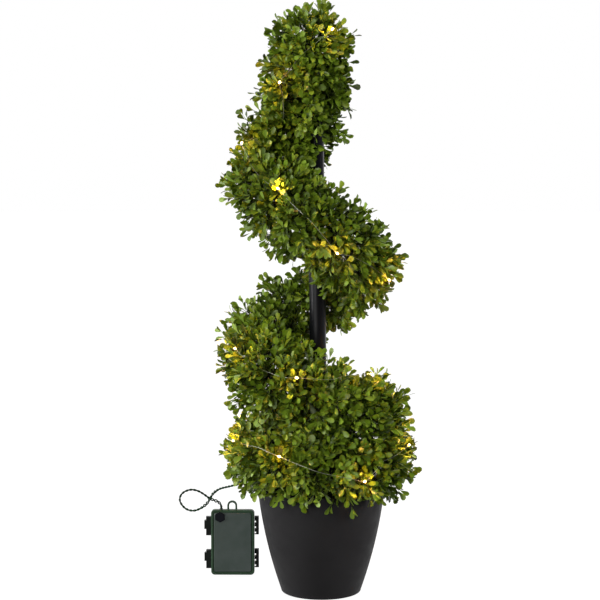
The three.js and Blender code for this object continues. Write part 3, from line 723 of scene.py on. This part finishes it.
def mass_angles(index):
    span = (ROLL_END_ANGLE - ROLL_TOP_ANGLE) / MASS_COUNT
    return ROLL_TOP_ANGLE + span * index, ROLL_TOP_ANGLE + span * (index + 1)


# Pot and pole


def pot_radius(z):
    """Outer radius of the pot on the arc that its side bulges along."""
    rise = POT_RIM_RADIUS - POT_BASE_RADIUS
    chord = math.hypot(rise, POT_HEIGHT)
    arc_radius = chord**2 / (8 * POT_BULGE) + POT_BULGE / 2
    back = arc_radius - POT_BULGE
    centre_r = (POT_RIM_RADIUS + POT_BASE_RADIUS) / 2 - back * POT_HEIGHT / chord
    centre_z = POT_HEIGHT / 2 + back * rise / chord
    return centre_r + np.sqrt(arc_radius**2 - (z - centre_z) ** 2)


def quarter_circle(points):
    return np.linspace(0, math.pi / 2, points)


def add_pot():
    corner_r = pot_radius(POT_CORNER) - POT_CORNER
    corner = [
        (corner_r + POT_CORNER * math.sin(a), POT_CORNER - POT_CORNER * math.cos(a))
        for a in quarter_circle(POT_CORNER_POINTS + 1)[:-1]
    ]
    ease_z = POT_HEIGHT - POT_RIM_EASE
    outer = [(float(pot_radius(z)), z) for z in np.linspace(POT_CORNER, ease_z, POT_OUTER_POINTS)]
    rim_r = float(pot_radius(POT_HEIGHT))
    lip = [
        (rim_r - POT_RIM_EASE + POT_RIM_EASE * math.cos(a), ease_z + POT_RIM_EASE * math.sin(a))
        for a in quarter_circle(POT_LIP_POINTS + 1)[1:]
    ]
    inner = [(float(pot_radius(z)) - POT_WALL, z) for z in np.linspace(ease_z, POT_FLOOR, POT_INNER_POINTS)]
    outline = [(0, 0), *corner, *outer, *lip, (rim_r - POT_WALL, POT_HEIGHT), *inner, (0, POT_FLOOR)]
    pot = mesh_piece("planter_pot", *closed_lathe(outline, POT_SIDES), [pot_material()])
    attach(pot, "root")
    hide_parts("pot")


def add_pole():
    """The pipe with the faint waviness of its paint."""
    heights = np.linspace(POLE_FOOT_Z, POLE_TOP_Z, POLE_RINGS)
    turn = full_circle(POLE_SIDES)
    waves = sum(np.sin(around * turn + upward * heights[:, None]) for around, upward in POLE_WAVES)
    radii = POLE_RADIUS + POLE_RELIEF * (waves / len(POLE_WAVES) - 1)
    centres = pole_centre(heights)
    round_them = np.stack([radii * np.cos(turn), radii * np.sin(turn), np.zeros_like(radii)], -1)
    rings = centres[:, None] + round_them
    points = np.concatenate([rings.reshape(-1, 3), centres[:1], centres[-1:]])
    pole = mesh_piece("pole_pipe", points, closed_rings(POLE_RINGS, POLE_SIDES), [pole_material()])
    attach(pole, "root")
    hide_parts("pole")


# String of lamps


def with_bends(lamps):
    """A run's lamps in order with the bends of the wire between them: angle, azimuth and depth."""
    low = min(angle for angle, _ in lamps)
    high = max(angle for angle, _ in lamps)
    bends = [bend for bend in WIRE_BENDS if low < bend[0] < high]
    hung = [(angle, azimuth, LAMP_DEPTH) for angle, azimuth in lamps]
    return np.array(sorted([*hung, *bends], reverse=lamps[0][0] > lamps[-1][0]), float)


def climb(stops, sway):
    """Angle, azimuth and depth along the stops: the wire dips into the leaves on its longer stretches."""
    places = []
    for start, end in zip(stops, stops[1:]):
        stretch = abs(end[0] - start[0])
        steps = max(WIRE_LEAST_STEPS, round(stretch / WIRE_STEP_ANGLE))
        share = np.arange(steps) / steps
        dip = (LAMP_DEPTH - WIRE_SUNK_DEPTH) * smooth_step(stretch / WIRE_DIP_ANGLE - 1)
        stretch_places = lerp(start[:, None], end[:, None], share)
        sunk = dip * np.sin(math.pi * share) ** WIRE_DIP_POWER
        stretch_places[2] += swing(sway, steps, WIRE_WANDER) - sunk
        places.append(stretch_places)
    places.append(stops[-1:].T)
    return np.concatenate(places, axis=1)


def string_places():
    """The lamps' places and ways out, and the wire's line from the sleeve up to the tip."""
    sway = np.random.default_rng(STRING_SEED)
    runs = [with_bends(lamps) for lamps in (LAMPS_ROUND_THE_FOOT, LAMPS_UP_THE_ROLL)]
    lines = [roll_place(*climb(stops, sway)) for stops in runs]
    stops = np.array([*LAMPS_ROUND_THE_FOOT, *LAMPS_UP_THE_ROLL], float)
    lamps = roll_place(stops[:, 0], stops[:, 1], np.full(len(stops), LAMP_DEPTH))
    outward = unit(lamps - roll_centre(stops[:, 0]))
    sleeve = np.array(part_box("lead_sleeve")).mean(0)
    knots = np.concatenate([[sleeve], *lines])
    return lamps, outward, even_route(smooth_route(knots, WIRE_CURVE_STEPS), WIRE_SPACING)


def add_light_string(lamps, outward, route):
    wire = mesh_piece("light_string_wire", *tubes(route[None], WIRE_RADIUS, WIRE_SIDES), [wire_material()])
    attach(wire, "root")
    nearest = np.array([np.linalg.norm(route - lamp, axis=1).argmin() for lamp in lamps])
    ways = unit(route[np.minimum(nearest + 1, len(route) - 1)] - route[np.maximum(nearest - 1, 0)])
    lengthwise = np.linspace(-1, 1, LAMP_POINTS)
    lines = route[nearest][:, None] + ways[:, None] * (lengthwise * LAMP_LENGTH / 2)[None, :, None]
    fullness = np.sqrt(np.maximum(1 - lengthwise**2, LAMP_END)) * LAMP_RADIUS
    drops = mesh_piece("light_string_lamps", *tubes(lines, fullness, LAMP_SIDES), [lamp_material()])
    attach(drops, "root")
    drops.visible_shadow = False
    glows = [(place, power) for lift, power in LAMP_GLOWS for place in lamps + outward * lift]
    for count, (place, power) in enumerate(glows):
        glow = bpy.data.lights.new(f"lamp_glow_{count + 1:02d}", "POINT")
        glow.energy = power
        glow.color = LAMP_COLOUR
        glow.shadow_soft_size = LAMP_RADIUS
        light = bpy.data.objects.new(glow.name, glow)
        light.location = place
        bpy.context.scene.collection.objects.link(light)


# Foliage


def scatter(index, seed):
    """Even steps that look scattered, the same on every run."""
    wave = np.sin(index * SCATTER_STEP + seed * SCATTER_SEED_STEP) * SCATTER_SPREAD
    return wave - np.floor(wave)


def twig_places(index):
    """Centre and tip for each side twig of a mass, spread evenly along and round it."""
    first, last = mass_angles(index)
    count = np.arange(TWIGS_PER_MASS)
    angle = lerp(first, last, (count + 0.5) / TWIGS_PER_MASS)
    centre, down, out, side = roll_frame(angle)
    tilt = TWIG_TILT * (scatter(count, index + 1) - 0.5)
    turn = count * GOLDEN_ANGLE + index
    direction = turned(turned(out, side, turn - TWIG_OUTWARD * np.sin(turn)), down, tilt)
    inner = (count % INNER_TWIG_EVERY == 0)[:, None]
    shortest, longest = np.where(inner, INNER_TWIG_REACH, TWIG_REACH).T
    share = lerp(shortest, longest, scatter(count, index + 5))
    tip = centre + direction * (share * roll_radius(angle))[:, None]
    for beside in (angle - 360, angle + 360):
        tip = out_of_groove(tip, angle, beside, share)
    if index == 0:
        crown_centres, crown_tips = crown_places()
        centre = np.concatenate([crown_centres, centre])
        tip = np.concatenate([crown_tips, tip])
    return centre, tip


def out_of_groove(tip, angle, beside, share):
    """Tips that lie between two touching turns of the roll, moved out to fill the groove there."""
    between_ends = (beside > ROLL_TOP_ANGLE) & (beside < ROLL_END_ANGLE)
    centre = roll_centre(angle)
    across = roll_centre(beside) - centre
    gap = np.linalg.norm(across, axis=1)
    part = ((tip - centre) * across).sum(1) / gap**2
    turn = np.radians(angle)
    outward = np.stack([np.cos(turn), np.sin(turn), np.zeros_like(turn)], -1)
    reached = ((tip - centre - across * part[:, None]) * outward).sum(1)
    wanted = share * lerp(roll_radius(angle), roll_radius(beside), part)
    touching = gap < roll_radius(angle) + roll_radius(beside)
    moved = between_ends & touching & (part > 0) & (part < 1) & (reached > 0)
    return tip + outward * (moved * GROOVE_FILL * np.maximum(wanted - reached, 0))[:, None]


def crown_places():
    """Twigs of the roll's own tip, the first of them the highest point of all."""
    centre, down, out, side = roll_frame(np.array(float(ROLL_TOP_ANGLE)))
    count = np.arange(CROWN_TWIGS)
    rise = (count + 0.5) / CROWN_TWIGS
    flat = np.sqrt(1 - rise**2)
    direction = turned(out, side, count * GOLDEN_ANGLE) * flat[:, None] - down * rise[:, None]
    tips = np.concatenate([[CROWN_TIP], centre + direction * roll_radius(ROLL_TOP_ANGLE)])
    return np.repeat(centre[None], len(tips), axis=0), tips


def sprays_of(centre, tip, random):
    """The fan of sprays at each side twig's fork: their forks and tips."""
    reach = np.linalg.norm(tip - centre, axis=1)[:, None]
    direction = (tip - centre) / reach
    across, up = cross_directions(direction)
    fork = centre + direction * reach * TWIG_FORK
    forks, tips = [], []
    column = (len(tip), 1)
    for number in range(SPRAYS_PER_TWIG):
        turn = 2 * math.pi * (number / SPRAYS_PER_TWIG + random.random(len(tip)))
        fan = SPRAY_FAN * vary(random, len(tip), *SPRAY_FAN_SHARE)
        sideways = turned(across, up, turn)
        length = reach * lerp(SPRAY_SHORTEST, 1.0, random.random(column))
        stray = random.random(column) < STRAY_SHARE
        length = length + stray * STRAY_REACH * random.random(column)
        if number == 0:
            fan = fan * MAIN_SPRAY_FAN
            length = reach * lerp(MAIN_SPRAY_SHORTEST, 1.0, random.random(column))
        forks.append(fork)
        tips.append(centre + unit(direction + sideways * fan[:, None]) * length)
    return np.concatenate(forks), np.concatenate(tips)


def loose_sprays(index):
    """Forks and tips of the mass's loose sprays."""
    first, last = mass_angles(index)
    chosen = [spray for spray in LOOSE_SPRAYS if first <= spray[0] < last]
    angle, azimuth, tilt, share = np.array(chosen, float).reshape(-1, 4).T
    centre, down, out, side = roll_frame(angle)
    direction = turned(turned(out, side, np.radians(angle - azimuth)), down, np.radians(tilt))
    reach = direction * (share * roll_radius(angle))[:, None]
    return centre + reach * TWIG_FORK, centre + reach


def spray_lines(fork, tip, random):
    """Each spray's stem, a little bowed, ending short of the leaf tips."""
    way = unit(tip - fork)
    end = tip - way * LEAF_LENGTH * LEAF_PAST_STEM
    across, up = cross_directions(way)
    bow = turned(across, up, 2 * math.pi * random.random(len(tip))) * SPRAY_BOW
    share = np.linspace(0, 1, SPRAY_POINTS)[None, :, None]
    span = end - fork
    sag = bow * np.linalg.norm(span, axis=1, keepdims=True)
    return fork[:, None] + span[:, None] * share + sag[:, None] * 4 * share * (1 - share)


def leaves_of(lines, random):
    """Roots, ways, widths, sizes, pair numbers and sprays of the leaves on all sprays."""
    count = len(lines)
    lengths = np.linalg.norm(lines[:, -1] - lines[:, 0], axis=1)
    steps = SPRAY_POINTS - 1
    first_turn = 2 * math.pi * random.random(count)
    leaves = []
    for pair, (depth, tilt, size) in enumerate(zip(PAIR_DEPTHS, PAIR_TILTS, PAIR_SIZES)):
        nudge = depth + swing(random, count, PAIR_NUDGE) * (pair > 0)
        share = np.clip(1 - nudge / lengths, 0, 1)
        step = np.minimum((share * steps).astype(int), steps - 1)
        low = lines[np.arange(count), step]
        high = lines[np.arange(count), step + 1]
        root = low + (high - low) * (share * steps - step)[:, None]
        way = unit(high - low)
        across, up = cross_directions(way)
        kept = share > STEM_BARE
        for half in (0, 1):
            turn = first_turn + math.pi * (pair / 2 + half) + swing(random, count, LEAF_TURN)
            lean = tilt + swing(random, count, LEAF_TILT)
            sideways = turned(across, up, turn)
            along = turned(way, sideways, lean)
            flat = np.cross(way, sideways)
            width = turned(flat, np.cross(along, flat), swing(random, count, LEAF_ROLL))
            scale = size * vary(random, count, *LEAF_SIZE)
            values = (root, along, width, scale, np.full(count, pair), np.arange(count))
            leaves.append([value[kept] for value in values])
    return [np.concatenate(values) for values in zip(*leaves)]


def leaf_template(stations, columns):
    """Leaf in its own frame: share of length, share of half width, and its triangles."""
    places = [(0.0, 0.0)]
    for share, width in stations:
        places += [(share, width * column) for column in columns]
    places.append((1.0, 0.0))
    tip = len(places) - 1
    row = len(columns)
    strips = range(row - 1, 0, -1)
    faces = [(0, strip + 1, strip) for strip in strips]
    for first in range(1, 1 + row * (len(stations) - 1), row):
        for here in (first + strip for strip in strips):
            ahead = here + row
            faces += [(here, ahead, ahead - 1), (here, ahead - 1, here - 1)]
    faces += [(tip - step, tip, tip - step - 1) for step in range(1, row)]
    return np.array(places), np.array(faces)


def leaf_shapes(template, root, along, width, size, random):
    """Every leaf of a kind as points and triangles, each folded and curled a little differently."""
    places, faces = template
    count = len(root)
    length = (LEAF_LENGTH * size)[:, None]
    breadth = (LEAF_HALF_WIDTH * size * vary(random, count, *LEAF_BREADTH))[:, None]
    fold = vary(random, count, *LEAF_FOLD)[:, None]
    curl = vary(random, count, *LEAF_CURL)[:, None]
    face = np.cross(along, width)
    x = places[None, :, 0] * length
    y = places[None, :, 1] * breadth
    lift = fold * np.abs(y) - curl * length * places[None, :, 0] ** 2
    points = root[:, None] + x[..., None] * along[:, None] + y[..., None] * width[:, None]
    points = points + lift[..., None] * face[:, None]
    triangles = faces[None] + (np.arange(count) * len(places))[:, None, None]
    return points.reshape(-1, 3), triangles.reshape(-1, 3)


def in_pot(points, clearance):
    """Whether points lie in the pot or its wall."""
    outer = pot_radius(np.clip(points[:, 2], 0, POT_HEIGHT)) + clearance
    low = points[:, 2] < POT_HEIGHT + clearance
    return low & (np.hypot(points[:, 0], points[:, 1]) < outer)


def on_pole(points, clearance):
    beside = points[:, :2] - pole_centre(points[:, 2])[:, :2]
    low = points[:, 2] < POLE_TOP_Z + clearance
    return low & (np.linalg.norm(beside, axis=1) < POLE_RADIUS + clearance)


def near_line(points, line, clearance):
    """Whether points come within a clearance of a route's points."""
    low = line.min(0) - clearance
    high = line.max(0) + clearance
    close = np.all((points > low) & (points < high), axis=1)
    found = np.zeros(len(points), bool)
    for start in range(0, len(line), LINE_BATCH):
        part = line[start:start + LINE_BATCH]
        some = close & ~found
        if some.any():
            gaps = np.linalg.norm(points[some][:, None] - part[None], axis=2).min(1)
            found[np.flatnonzero(some)[gaps < clearance]] = True
    return found


def in_other_turn(points, index):
    """Whether points belong to another turn of the roll rather than to their own mass."""
    angle = np.arange(ROLL_TOP_ANGLE, ROLL_END_ANGLE + 1, TURN_STEP)
    mass = np.clip((angle - ROLL_TOP_ANGLE) // (mass_angles(0)[1] - ROLL_TOP_ANGLE), 0, MASS_COUNT - 1)
    share = np.linalg.norm(points[:, None] - roll_centre(angle)[None], axis=2) / roll_radius(angle)
    near = np.abs(mass - index) <= 1
    return share[:, ~near].min(1) < share[:, near].min(1)


def obstructed(points, index, lines):
    blocked = in_pot(points, LEAF_CLEARANCE) | on_pole(points, LEAF_CLEARANCE)
    blocked |= in_other_turn(points, index)
    for line, clearance in lines:
        blocked |= near_line(points, line, clearance)
    return blocked


def bough_lines(index):
    """The mass's bough along the roll, and the strut from it that ends just off the pole."""
    first, last = mass_angles(index)
    along = roll_centre(np.linspace(first, last, BOUGH_POINTS))
    middle = roll_centre(np.array((first + last) / 2))
    axis = pole_centre(middle[2:])[0]
    toward = axis - middle
    gap = np.linalg.norm(toward)
    clear = POLE_RADIUS + BOUGH_CLEARANCE
    lines = [along]
    if gap > clear + BOUGH_RADIUS:
        lines.append(np.linspace(middle, axis - toward / gap * clear, BOUGH_POINTS))
    return lines


def add_mass(index, leaf_materials, stem_material, lines):
    random = np.random.default_rng(FOLIAGE_SEED + index)
    centre, tip = twig_places(index)
    fans = (sprays_of(centre, tip, random), loose_sprays(index))
    fork, spray_tip = (np.concatenate(ends) for ends in zip(*fans))
    stems = spray_lines(fork, spray_tip, random)
    root, along, width, size, pair, owner = leaves_of(stems, random)
    leaf_tip = root + along * (LEAF_LENGTH * size)[:, None]
    leaf_middle = root + along * (LEAF_LENGTH * size * LEAF_MIDDLE)[:, None]
    blocked = obstructed(leaf_tip, index, lines) | obstructed(leaf_middle, index, lines)
    shade = random.choice(len(LEAF_GREENS), len(stems), p=GREEN_SHARES)[owner]
    lighter = (pair == 0) & (random.random(len(pair)) < LIGHTER_SHARE)
    # Painted shade: inner leaves of a spray, by chance, and all of its inmost pairs, are dealt a deeper
    # green that stands in for the shade inside the foliage
    painted_shade = (pair >= PAINTED_SHADE_FROM_PAIR) & (random.random(len(pair)) < PAINTED_SHADE_SHARE)
    inmost = pair >= FINE_PAIRS
    shade = np.clip(shade + lighter - painted_shade - inmost, 0, len(LEAF_GREENS) - 1)
    kinds = (
        (~inmost & ~blocked, leaf_template(LEAF_STATIONS, LEAF_COLUMNS)),
        (inmost & ~blocked, leaf_template(PLAIN_STATIONS, PLAIN_COLUMNS)),
    )
    parts, shades = [], []
    for chosen, template in kinds:
        own = [values[chosen] for values in (root, along, width, size)]
        parts.append(leaf_shapes(template, *own, random))
        shades.append(np.repeat(shade[chosen], len(template[1])))
    number = f"{index + 1:02d}"
    leaves = mesh_piece(f"leaves_{number}", *joined(parts), leaf_materials, np.concatenate(shades))
    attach(leaves, "root")
    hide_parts(f"spiral_mass_{number}")
    add_twigs(index, centre, tip, stems, stem_material, lines)


def add_twigs(index, centre, tip, stems, stem_material, lines):
    """Bough, side twigs and spray stems of a mass as one piece."""
    fork = lerp(centre, tip, TWIG_FORK)
    twigs = np.linspace(centre, fork, TWIG_POINTS, axis=1)
    clear = ~obstructed(fork, index, lines)
    parts = [tubes(twigs[clear], np.linspace(TWIG_ROOT_RADIUS, TWIG_FORK_RADIUS, TWIG_POINTS), TWIG_SIDES)]
    middles = stems[:, SPRAY_POINTS // 2]
    open_stems = ~obstructed(stems[:, -1], index, lines) & ~obstructed(middles, index, lines)
    taper = np.linspace(TWIG_FORK_RADIUS, SPRAY_TIP_RADIUS, SPRAY_POINTS)
    parts.append(tubes(stems[open_stems], taper, TWIG_SIDES))
    for line in bough_lines(index):
        parts.append(tubes(line[None], BOUGH_RADIUS, BOUGH_SIDES))
    twig_piece = mesh_piece(f"twigs_{index + 1:02d}", *joined(parts), [stem_material])
    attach(twig_piece, "root")


def add_foliage(lamps, outward, route):
    leaf_materials = [leaf_material(*green) for green in LEAF_GREENS]
    stem_material = twig_material()
    ends = lamps + outward * LAMP_OPENING_REACH
    openings = np.linspace(lamps, ends, LAMP_OPENING_POINTS).reshape(-1, 3)
    lines = [(LEAD_ROUTE, LEAD_CLEARANCE), (route, WIRE_CLEARANCE), (openings, LAMP_OPENING_HALF_WIDTH)]
    for index in range(MASS_COUNT):
        add_mass(index, leaf_materials, stem_material, lines)


# Battery box


def rounded_outline(left, low, right, high, corner):
    """Corners of a rounded rectangle in X and Z, counter-clockwise seen from the front."""
    bend = quarter_circle(PANEL_CORNER_POINTS)
    outline = []
    for x, z, start in (
        (right - corner, low + corner, -math.pi / 2),
        (right - corner, high - corner, 0),
        (left + corner, high - corner, math.pi / 2),
        (left + corner, low + corner, math.pi),
    ):
        outline += [(x + corner * math.cos(start + a), z + corner * math.sin(start + a)) for a in bend]
    return outline


def add_panel_plate():
    """Glossier plate let into the cover, with an eased edge."""
    material = moulded_plastic("panel_plastic")
    low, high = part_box("box_cover")
    rings = []
    shoulder = PANEL_THICKNESS - PANEL_EDGE_DEPTH
    for inset, rise in ((0, 0), (0, shoulder), (PANEL_EDGE_WIDTH, PANEL_THICKNESS)):
        edge = PANEL_INSET + inset
        corner = PANEL_CORNER - inset
        outline = rounded_outline(low.x + edge, low.z + edge, high.x - edge, high.z - edge, corner)
        rings.append([(x, low.y + PANEL_SEAT - rise, z) for x, z in outline])
    sides = len(rings[0])
    points = np.array([point for ring in rings for point in ring])
    points = np.concatenate([points, [points[:sides].mean(0), points[-sides:].mean(0)]])
    plate = mesh_piece("box_panel_plate", points, closed_rings(len(rings), sides), [material], smooth=False)
    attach(plate, "root")


def dress_carried_over_nodes():
    """Materials of the box, its lead's gland and sleeve and the pot's filling, shown as they are."""
    green = moulded_plastic("green_plastic")
    black = moulded_plastic("black_plastic")
    gland = moulded_plastic("gland_plastic")
    finishes = {
        "box_case": green, "box_cover": green, "box_loop": green,
        "box_button": moulded_plastic("button_rubber"),
        "lead_gland": gland, "lead_sleeve": gland, "pot_fill": cement_material(),
    }
    for name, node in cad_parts.items():
        if name in finishes or name.startswith("box_"):
            for slot in node.material_slots:
                slot.material = finishes.get(name, black)


# Stage and light


def add_floor():
    side = np.arange(FLOOR_SIDES)
    turn = full_circle(FLOOR_SIDES)
    ring = np.stack([FLOOR_RADIUS * np.cos(turn), FLOOR_RADIUS * np.sin(turn), np.zeros(FLOOR_SIDES)], -1)
    points = np.concatenate([ring, [(0, 0, 0)]])
    faces = np.stack([np.full_like(side, FLOOR_SIDES), side, (side + 1) % FLOOR_SIDES], -1)
    material, tree, shader = new_material("pale_floor")
    put(shader, {"Base Color": (0.12, 0.12, 0.12, 1), "Specular IOR Level": 0.1})
    put(shader, {"Emission Color": (1.0, 1.0, 1.0, 1), "Emission Strength": 0.9})
    tree.links.new(spread(tree, noise(tree, 400 * MM, 3), 0.84, 0.92), shader.inputs["Roughness"])
    floor = mesh_piece("floor", points, faces, [material])
    floor.visible_diffuse = False
    floor.visible_glossy = False


def add_light(name, kind, energy, place, settings):
    lamp = bpy.data.lights.new(name, kind)
    lamp.energy = energy
    for key, value in settings.items():
        setattr(lamp, key, value)
    return aimed(name, lamp, place, LIGHT_TARGET)


def add_studio():
    scene = bpy.context.scene
    scene.view_settings.view_transform = "Standard"
    world = bpy.data.worlds.new("studio")
    world.use_nodes = True
    scene.world = world
    tree = world.node_tree
    tree.nodes.clear()
    shown = new_node(tree, "Background", {"Color": (1.0, 1.0, 1.0, 1), "Strength": 1.0})
    fill = new_node(tree, "Background", {"Color": (1.0, 1.0, 1.0, 1)})
    place = new_node(tree, "TexCoord", {})
    parts = new_node(tree, "SeparateXYZ", {})
    ramp = new_node(tree, "MapRange", {"From Min": FILL_START, "To Min": FILL_FRONT, "To Max": FILL_BACK})
    tree.links.new(place.outputs["Generated"], parts.inputs["Vector"])
    tree.links.new(parts.outputs["Y"], ramp.inputs["Value"])
    tree.links.new(ramp.outputs["Result"], fill.inputs["Strength"])
    path = new_node(tree, "LightPath", {})
    mix = new_node(tree, "MixShader", {})
    output = new_node(tree, "OutputWorld", {})
    tree.links.new(path.outputs["Is Camera Ray"], mix.inputs["Fac"])
    tree.links.new(fill.outputs["Background"], mix.inputs[1])
    tree.links.new(shown.outputs["Background"], mix.inputs[2])
    tree.links.new(mix.outputs["Shader"], output.inputs["Surface"])
    lights = {light[0]: add_light(*light) for light in STUDIO_LIGHTS}
    lights["right_softbox"].visible_glossy = False


add_camera()
add_lead()
add_studio()
add_floor()
add_pot()
add_pole()
string = string_places()
add_light_string(*string)
add_foliage(*string)
add_panel_plate()
dress_carried_over_nodes()

bpy.context.view_layer.update()
